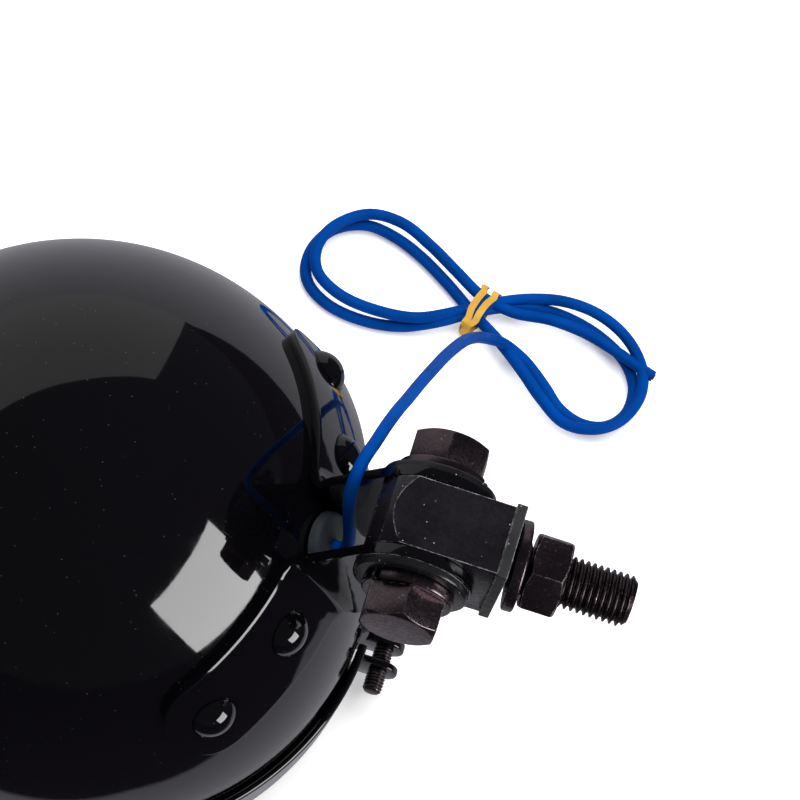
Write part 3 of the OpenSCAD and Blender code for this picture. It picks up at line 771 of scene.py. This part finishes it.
def bracket_grid(side):
    """Middle surface of the strip from the flange's free end over the bend to the ear's end."""
    across = [i / 12 for i in range(-12, 13)]
    reach = []
    for i in range(7):
        reach.append(FLANGE_REACH - FLANGE_CORNER_R * (1 - math.cos(math.pi / 2 * i / 6)))
    inner_y = EAR_GAP / 2 + BRACKET_T + BEND_R
    reach += list(np.linspace(reach[-1], inner_y, 16)[1:])
    rows = []
    for y in reach:
        d = FLANGE_REACH - y
        w = FLANGE_W / 2
        if d < FLANGE_CORNER_R:
            w += math.sqrt(max(FLANGE_CORNER_R**2 - (FLANGE_CORNER_R - d) ** 2, 0)) - FLANGE_CORNER_R
        rows.append([flange_point(u * w, y, BRACKET_T / 2)[0] for u in across])
    root = [flange_point(u * FLANGE_W / 2, EAR_GAP / 2 + BRACKET_T / 2, BRACKET_T / 2)[0] for u in across]
    mid_r = BEND_R + BRACKET_T / 2
    ear_y = EAR_GAP / 2 + BRACKET_T / 2
    for k in range(1, 6):
        a = math.pi / 2 * k / 5
        row = []
        for corner in root:
            q = corner + foot_out * mid_r * (1 - math.cos(a))
            q.y = ear_y + mid_r * (1 - math.sin(a))
            row.append(q)
        rows.append(row)
    start = [corner + foot_out * mid_r for corner in root]
    first, last = ear_ends()
    if (last - pivot).dot(foot_up) < 0:
        first, last = last, first
    a0 = math.atan2((first - pivot).z, (first - pivot).x)
    a1 = math.atan2((last - pivot).z, (last - pivot).x)
    if a1 < a0:
        a1 += 2 * math.pi
    for k in range(1, 11):
        t = k / 10
        row = []
        for j, begin in enumerate(start):
            a = a0 + (a1 - a0) * j / (len(across) - 1)
            end = Vector((pivot.x + EAR_R * math.cos(a), ear_y, pivot.z + EAR_R * math.sin(a)))
            row.append(begin.lerp(end, t))
        rows.append(row)
    return [[Vector((q.x, side * q.y, q.z)) for q in row] for row in rows]


def sheet(name, rows, thickness, edge):
    """Sheet metal: the grid given a thickness, half to each side, with broken edges."""
    n = len(rows[0])
    verts = [q for row in rows for q in row]
    faces = []
    for i in range(len(rows) - 1):
        faces += [(i * n + k, i * n + k + 1, (i + 1) * n + k + 1, (i + 1) * n + k) for k in range(n - 1)]
    piece = make_object(name, verts, faces, angle=180)
    m = piece.modifiers.new("thickness", "SOLIDIFY")
    m.thickness = thickness * MM
    m.offset = 0.0
    m.use_even_offset = True
    apply_modifiers(piece)
    return bevel(piece, edge, segments=3, angle=50)


for side, label in ((1, "left"), (-1, "right")):
    piece = sheet(f"{label}_bracket_sheet", bracket_grid(side), BRACKET_T, 0.6)
    add(piece, "lamp", strip_paint, "gloss_black_paint", f"{label}_bracket")
    print(piece.name, len(piece.data.polygons))

# %% Rivets
RIVET_HEAD_R = 4.5
RIVET_HEAD_H = 2.6
SHANK_R = 2.4
SHANK_L = 2.6


def rivet_head(name, side, y):
    """Domed head on a short shank, with its edge a little wider where the paint gathers."""
    at, normal = flange_point(0.0, side * y, BRACKET_T)
    ball = (RIVET_HEAD_R**2 + RIVET_HEAD_H**2) / (2 * RIVET_HEAD_H)
    top = math.degrees(math.asin(RIVET_HEAD_R / ball))
    edge, sunk, rim = RIVET_HEAD_R + 0.15, 0.6, 0.12
    profile = [(0, -SHANK_L), (SHANK_R, -SHANK_L), (SHANK_R, -sunk), (edge, -sunk), (edge, rim)]
    profile += arc((0, RIVET_HEAD_H - ball), ball, 90 - top, 90, 14)
    profile[-1] = (0, RIVET_HEAD_H)
    return lathe(name, profile, axes_at(at, (0, 1, 0), normal), segments=64, angle=60)


for side, label in ((1, "left"), (-1, "right")):
    heads = [rivet_head(f"{label}_rivet_{i}", side, y) for i, y in enumerate(RIVETS_Y)]
    for head in heads:
        add(head, "lamp", paint, "gloss_black_paint")
    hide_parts(f"{label}_rivets")

# %% [markdown]
# ## Grommet
# A soft rubber ring that keeps the wire off the sheet's edge. Its rounded lip is turned with the hole.

# %% Make the grommet
def grommet_ring():
    """Rounded lip outside the shell, and a neck through it."""
    r, lip, neck_r, neck_l, seat = 6.6, 1.1, 4.7, 3.4, 0.2
    hole, hole_edge = WIRE_D / 2 + 0.1, 0.6
    profile = [(hole, -neck_l), (neck_r, -neck_l), (neck_r, seat), (r, seat)]
    profile += arc((r - lip, GROMMET_OUT - lip), lip, 0, 90, 6)
    profile += arc((hole + hole_edge, GROMMET_OUT - hole_edge), hole_edge, 90, 180, 4)
    return lathe("grommet_ring", profile, axes_at(foot, (0, 1, 0), foot_out), segments=72, angle=60)


add(grommet_ring(), "lamp", rubber, "grommet_rubber", "grommet")

# %% [markdown]
# ## Swivel block, stud and end plate
# The block is a length of square bar whose inner end was turned in a lathe, which leaves a curved line
# where the turning meets each flat side. Its turned end is the common part of a bar and a turned shape.

# %% Make the swivel block
BLOCK_W = 13.6
BLOCK_H = 22.0
BLOCK_TAIL = 10.3
BLOCK_NOSE = 14.2
PLATE_T = 2.0
PLATE_PROUD = 0.6
MACHINED_EDGE = 0.22
along_stud = axes_at(pivot, (0, 0, 1), (1, 0, 0))


def swivel_block():
    """Square bar cut by the turned shape of its inner end."""
    turned = math.hypot(BLOCK_W, BLOCK_H) / 2 + 0.1
    face_r = 7
    low = along_stud @ Matrix.Translation((0, 0, -BLOCK_TAIL))
    bar = prism("swivel_block", rectangle(BLOCK_H / 2, BLOCK_W / 2), BLOCK_TAIL + BLOCK_NOSE, low)
    profile = [(0, -BLOCK_TAIL), (face_r, -BLOCK_TAIL), (turned - 2.6, 2.2 - BLOCK_TAIL)]
    profile += [(turned, 6 - BLOCK_TAIL), (turned, BLOCK_NOSE + 1), (0, BLOCK_NOSE + 1)]
    carve(bar, "INTERSECT", lathe("turned_bar", profile, along_stud, segments=128))
    return bevel(bar, MACHINED_EDGE, angle=15)


block = swivel_block()
add(block, "swivel", block_black, "block_black", "pivot_block")

# %% End plate
def end_plate():
    """Thin plate cut with shears, its edges only just broken."""
    outline = rectangle(BLOCK_H / 2 + PLATE_PROUD, BLOCK_W / 2 + PLATE_PROUD)
    plate = prism("end_plate_cut", outline, PLATE_T, along_stud @ Matrix.Translation((0, 0, BLOCK_NOSE)))
    return bevel(plate, 0.15)


add(end_plate(), "swivel", plate_black, "plate_steel", "end_plate")

# %% [markdown]
# ## Threads
# A rolled thread is a helix of rounded crests. The helix here is a grid round the axis, and the radius
# at each point follows how far it lies along the pitch, so the thread is real geometry.

# %% Thread maker
def threaded_rod(name, radius, pitch, start, stop, place, tip, segments=48):
    """Rod with a helical thread from start to stop along the place's Z axis, and a chamfered tip."""
    depth, steepness, root_width = 0.6 * pitch, 1.9, 0.4
    rows = int((stop - start) / pitch * 10)
    sections = []
    for i in range(rows + 1):
        z = start + (stop - start) * i / rows
        section = []
        for k in range(segments):
            phase = (z / pitch - k / segments) % 1.0
            ridge = min(max(steepness * (1 - abs(2 * phase - 1)) - root_width, 0.0), 1.0)
            r = min(radius - depth * (1 - ridge), radius - tip + (stop - z))
            a = 2 * math.pi * k / segments
            section.append(place @ Vector((r * math.cos(a), r * math.sin(a), z)))
        sections.append(section)
    return sweep(name, sections, angle=70)


STUD_R = 5.0
STUD_PITCH = 1.25
STUD_L = 24.0
PLATE_X = BLOCK_NOSE + PLATE_T
STUD_TIP = PLATE_X + STUD_L
NUT_X = PLATE_X + 3.8
NUT_H = 7.0
stud = threaded_rod("threaded_stud", STUD_R, STUD_PITCH, PLATE_X - 1, STUD_TIP, along_stud, tip=1.1)
add(stud, "swivel", thread_oxide, "black_oxide", "stud")
print("stud faces:", len(stud.data.polygons))

# %% [markdown]
# ## Nuts, bolt heads and washers
# A hexagon's corners are cut back by a turned chamfer, which gives the curved line across each flat.
# The common part of a hexagonal bar and a turned cone makes that line by itself.

# %% Hexagon maker
HEX_AF = 14.0
HEX_R = HEX_AF / math.sqrt(3)
HEX_CHAMFER = math.radians(28)


def hexagon(name, height, place, turn, both_ends, bore=0.0):
    """Hexagonal bar with its corners chamfered at the top, and at the bottom too if both_ends."""
    bar = prism(name, arc((0, 0), HEX_R, turn, turn + 300, 5), height, place)
    flat_r, cone_r = HEX_AF / 2 - 0.25, HEX_R + 0.5
    drop = (cone_r - flat_r) * math.tan(HEX_CHAMFER)
    top = [(cone_r, height - drop), (flat_r, height), (bore, height)]
    bottom = [(bore, 0), (flat_r, 0), (cone_r, drop)] if both_ends else [(bore, 0), (cone_r, 0)]
    carve(bar, "INTERSECT", lathe("hex_cone", bottom + top, place))
    return bevel(bar, MACHINED_EDGE, angle=20)


nut_place = along_stud @ Matrix.Translation((0, 0, NUT_X))
nut = hexagon("stud_hex_nut", NUT_H, nut_place, 24, True, bore=STUD_R - 0.5)
add(nut, "swivel", oxide, "black_oxide", "stud_nut")

# %% Spring washers
WASHER_BORE_R = 5.25
SPRING_R = 8.7
SPRING_T = 2.2


def spring_washer(name, place, turn, spread):
    """Split ring of square section, its two ends standing apart along the axis by the spread."""
    steps, gap = 72, 7.0
    square = [(WASHER_BORE_R, 0.0), (SPRING_R, 0.0), (SPRING_R, SPRING_T), (WASHER_BORE_R, SPRING_T)]
    sections = []
    for i in range(steps + 1):
        share = i / steps
        a = math.radians(turn + gap / 2 + (360 - gap) * share)
        lift = spread * (share - 0.5)
        sections.append([place @ Vector((r * math.cos(a), r * math.sin(a), z + lift)) for r, z in square])
    return bevel(sweep(name, sections), 0.45, segments=3)


leaning = Matrix.Rotation(math.radians(3), 4, "X")
loose_place = along_stud @ Matrix.Translation((0, 0, PLATE_X + 0.65)) @ leaning
loose = spring_washer("stud_split_washer", loose_place, 200, 0.3)
add(loose, "swivel", oxide, "black_oxide", "stud_spring_washer")

# %% Bolts and their washers, on both sides of the swivel
WASHER_R = 11.0
WASHER_T = 1.6
BOLT_HEAD_H = 6.4


def flat_washer(name, place):
    """Punched washer: rounded on the side where the punch went in."""
    profile = [(WASHER_BORE_R, 0), (WASHER_R, 0), (WASHER_R, WASHER_T - 0.5)]
    profile += [(WASHER_R - 0.15, WASHER_T - 0.15), (WASHER_R - 0.5, WASHER_T), (WASHER_BORE_R, WASHER_T)]
    return lathe(name, profile, place, angle=60)


for side, label, hex_turn, split in ((1, "left", 25, -25), (-1, "right", 30, 140)):
    out = axes_at(pivot, (1, 0, 0), (0, side, 0))
    washer_z = EAR_GAP / 2 + BRACKET_T
    seats = [washer_z, washer_z + WASHER_T, washer_z + WASHER_T + SPRING_T]
    at_washer, at_spring, at_bolt = (out @ Matrix.Translation((0, 0, z)) for z in seats)
    washer = flat_washer(f"{label}_flat_washer", at_washer)
    add(washer, "swivel", washer_black, "washer_black", f"{label}_washer")
    spring = spring_washer(f"{label}_split_washer", at_spring, split, 0.0)
    add(spring, "swivel", oxide, "black_oxide", f"{label}_spring_washer")
    bolt = hexagon(f"{label}_hex_bolt", BOLT_HEAD_H, at_bolt, hex_turn, False)
    add(bolt, "swivel", oxide, "black_oxide", f"{label}_pivot_bolt")

# %% [markdown]
# ## Trim ring
# A strip rolled to a ring, with a bead round its rear edge and a nose that turns in over the lens. It
# is split at the mount's side, where two tabs are drawn together by a small screw.

# %% Make the trim ring
RING_CLEAR = 0.3
RING_T = 1.2
RING_H = 16.6
NOSE_R = 5.0
BEAD_R = 0.9
SPLIT_W = 3.6
LENS_SEAT_Z = 2.1
ring_in = SHELL_R + RING_CLEAR
ring_out = ring_in + RING_T
nose_x = ring_out - NOSE_R
APERTURE_R = ring_out - 7.0


def ring_section():
    """Closed section of the ring: skirt, bead, nose and lip."""
    section = arc((nose_x, NOSE_R), NOSE_R, -90, 0, 10)
    section += arc((ring_in + BEAD_R, RING_H - BEAD_R), BEAD_R, -60, 180, 12)
    section += arc((nose_x, NOSE_R), NOSE_R - RING_T, 0, -90, 10)
    lip_r = APERTURE_R + RING_T
    return section + [(lip_r, RING_T), (lip_r, LENS_SEAT_Z), (APERTURE_R, LENS_SEAT_Z), (APERTURE_R, 0)]


def split_ring():
    """The section swept round from one side of the split to the other."""
    section = ring_section()
    start = math.asin(SPLIT_W / 2 / ring_out)
    steps = 240
    sections = []
    for i in range(steps + 1):
        a = start + (2 * math.pi - 2 * start) * i / steps
        sections.append([Vector((r * math.cos(a), r * math.sin(a), z)) for r, z in section])
    return sweep("trim_ring_band", sections, angle=50)


def drain_cutter():
    """Oblong that cuts the drain slot through the skirt."""
    end, r, z, angle = 2.2, 1.0, RING_H - 6.5, math.radians(-15)
    outline = arc((end, 0), r, -90, 90, 10) + arc((-end, 0), r, 90, 270, 10)
    out = Vector((math.cos(angle), math.sin(angle), 0))
    side = Vector((-math.sin(angle), math.cos(angle), 0))
    place = axes_at(out * (ring_in - 4) + Vector((0, 0, z)), side, out)
    return prism("drain_cutter", outline, 12, place)


ring = carve(split_ring(), "DIFFERENCE", drain_cutter())
ring.data.shade_smooth()
ring.data.set_sharp_from_angle(angle=math.radians(50))
add(ring, "lamp", paint, "gloss_black_paint", "trim_ring")

# %% Clamp tabs and screw
TAB_R = 4.0
TAB_T = 1.5
TAB_OUT = 8.2
CLAMP_LEN = 11.2
CLAMP_R = 2.0
CLAMP_PITCH = 0.7
tab_x = ring_out + TAB_OUT - TAB_R
tab_z = NOSE_R + TAB_R - 1.6


def clamp_tab(side):
    """Flat tab with a round end, turned out from the ring's end."""
    root = ring_in + 0.2
    outline = [(root, tab_z - TAB_R)] + arc((tab_x, tab_z), TAB_R, -90, 90, 16) + [(root, tab_z + TAB_R)]
    place = Matrix.Translation((0, side * SPLIT_W / 2, 0)) @ Matrix.Rotation(math.radians(90), 4, "X")
    piece = prism(f"clamp_tab_{'left' if side > 0 else 'right'}", outline, -side * TAB_T, place)
    return bevel(piece, 0.3)


for side in (-1, 1):
    add(clamp_tab(side), "lamp", paint, "gloss_black_paint")
screw_seat = (tab_x, SPLIT_W / 2 + TAB_T, tab_z)
inward = axes_at(screw_seat, (1, 0, 0), (0, -1, 0))
screw = threaded_rod(
    "clamp_screw_thread", CLAMP_R, CLAMP_PITCH, 0.0, CLAMP_LEN, inward, tip=0.5, segments=32
)
add(screw, "lamp", thread_oxide, "black_oxide", "clamp_screw")


def screw_head():
    """Round head with a cross recess."""
    r, h, recess, arm, half_slot = 4.0, 2.9, 1.4, 2.2, 0.5
    ball = (r * r + h * h) / (2 * h)
    top = math.degrees(math.asin(r / ball))
    place = axes_at(screw_seat, (1, 0, 0), (0, 1, 0))
    profile = [(0, 0)] + arc((0, h - ball), ball, 90 - top, 90, 12)
    profile[-1] = (0, h)
    head = lathe("clamp_screw_head", profile, place, segments=48, angle=60)
    bottom = place @ Matrix.Translation((0, 0, h - recess))
    bars = [rectangle(half_slot, arm), rectangle(arm, half_slot)]
    return carve(head, "DIFFERENCE", *(prism("recess_cutter", bar, 3, bottom) for bar in bars))


add(screw_head(), "lamp", oxide, "black_oxide")

# %% [markdown]
# ## Inside the lamp and its glass front
# The lens faces the table, so it shows only from below. These pieces keep the CAD model's own shapes,
# with their true finishes.

# %% Finishes of the carried-over pieces
INSIDE = {
    "lens": glass, "lens_gasket": gasket, "lens_clips": spring_steel, "reflector": mirror_coat,
    "bulb": base_metal, "bulb_collar": zinc, "bulb_spring": spring_steel, "bulb_plug": plastic,
    "inner_wire": insulation,
}  # fmt: skip
for name, material in INSIDE.items():
    node = frame["nodes"][name]
    node.data.materials.clear()
    node.data.materials.append(material)

# %% [markdown]
# ## Floor and lights
# Gloss black paint shows hardly anything but its surroundings. Here a bright softbox, low on the right
# and tipped down, makes the white square. A pale sweep behind and a board under the lamp make the grey
# parts, and the dark room makes the black. The board ends near the lamp, so glossy surfaces see a
# floor with edges, while the camera sees plain white. The Light Path node tells the two apart.

# %% Edges of the board
# Each edge is the direction that it faces and its distance from the lamp's axis, in metres. The last
# is where the sweep meets the floor.
BOARD_EDGES = (
    ((0.995, -0.1, 0.0), 0.155),
    ((0.51, -0.86, 0.0), 0.097),
    ((0.1, -0.995, 0.0), 0.088),
    ((-0.53, 0.848, 0.0), 1.18),
)


def board_group():
    """Mask of the board as reflections see it: 1 on it and 0 beyond its edges."""
    softness = [("Softness", FLOAT, 0.004)]
    group, source, target = new_group("board_mask", softness, [("Mask", FLOAT)])
    where = object_place(group)
    inside = 1.0
    for facing, reach in BOARD_EDGES:
        left = math_node(group, "SUBTRACT", reach, dot_node(group, where, facing))
        soft = math_node(group, "DIVIDE", left, source.outputs["Softness"])
        soft.node.use_clamp = True
        inside = math_node(group, "MULTIPLY", soft, inside)
    group.links.new(inside, target.inputs["Mask"])
    return group


board = board_group()

# %% Floor
def floor():
    """Wide plain floor with a faint glow, and with the board's look in reflections."""
    mesh = bpy.data.meshes.new("floor")
    mesh.from_pydata([(x, y, 0) for x, y in rectangle(4.0, 4.0)], [], [(0, 1, 2, 3)])
    piece = bpy.data.objects.new("floor", mesh)
    bpy.context.scene.collection.objects.link(piece)
    piece.location.z = -0.0002
    white, glow, black = grey(0.97), grey(0.26), grey(0.0)
    plain = {"Specular_IOR_Level": 0.0, "Emission_Strength": 1.0}
    material, tree, shader = new_material("floor_white", white, 0.8, **plain)
    on_board = use_group(tree, board)["Mask"]
    mirrored = mix_color(tree, on_board, (0.026, 0.023, 0.031), (0.31, 0.31, 0.34))
    glossy = place_node(tree, "ShaderNodeLightPath").outputs["Is Glossy Ray"]
    feed_shader(
        tree,
        shader,
        Base_Color=mix_color(tree, glossy, white, black),
        Emission_Color=mix_color(tree, glossy, glow, mirrored),
    )
    mesh.materials.append(material)
    return piece


floor()

# %% Lights
LAMP_MIDDLE = Vector((0.03, 0.0, 0.07))


def area_light(name, azimuth, elevation, distance, size, radiance, reflected=True, back=None):
    """Light panel, by its direction from the lamp in degrees and its distance and size in metres.

    Its back points away from the lamp, or in the direction back where that is given.
    """
    data = bpy.data.lights.new(name, "AREA")
    data.shape = "RECTANGLE"
    data.size, data.size_y = size
    data.energy = radiance * math.pi * size[0] * size[1]
    light = bpy.data.objects.new(name, data)
    bpy.context.scene.collection.objects.link(light)
    a, e = math.radians(azimuth), math.radians(elevation)
    way = Vector((math.cos(a) * math.cos(e), math.sin(a) * math.cos(e), math.sin(e)))
    light.location = LAMP_MIDDLE + distance * way
    light.rotation_euler = (Vector(back) if back else way).to_track_quat("Z", "Y").to_euler()
    light.visible_glossy = reflected
    return light


area_light("softbox", -22.7, 11.3, 0.85, (0.58, 0.48), 6.0, back=(0.71, -0.04, 0.7))
area_light("pale_sweep", 122.0, 20.0, 1.1, (2.0, 1.1), 0.32)
area_light("overhead_fill", 80.0, 70.0, 1.6, (2.2, 2.2), 4.0, reflected=False)

world = bpy.data.worlds.new("studio")
bpy.context.scene.world = world
world.use_nodes = True
room = world.node_tree.nodes["Background"]
room.inputs["Color"].default_value = (0.9, 0.85, 1.0, 1)
room.inputs["Strength"].default_value = 0.05
bpy.context.scene.view_settings.view_transform = "Standard"
print("lights:", len(bpy.data.lights))

# %% Count of pieces made
print("pieces made:", len(made))
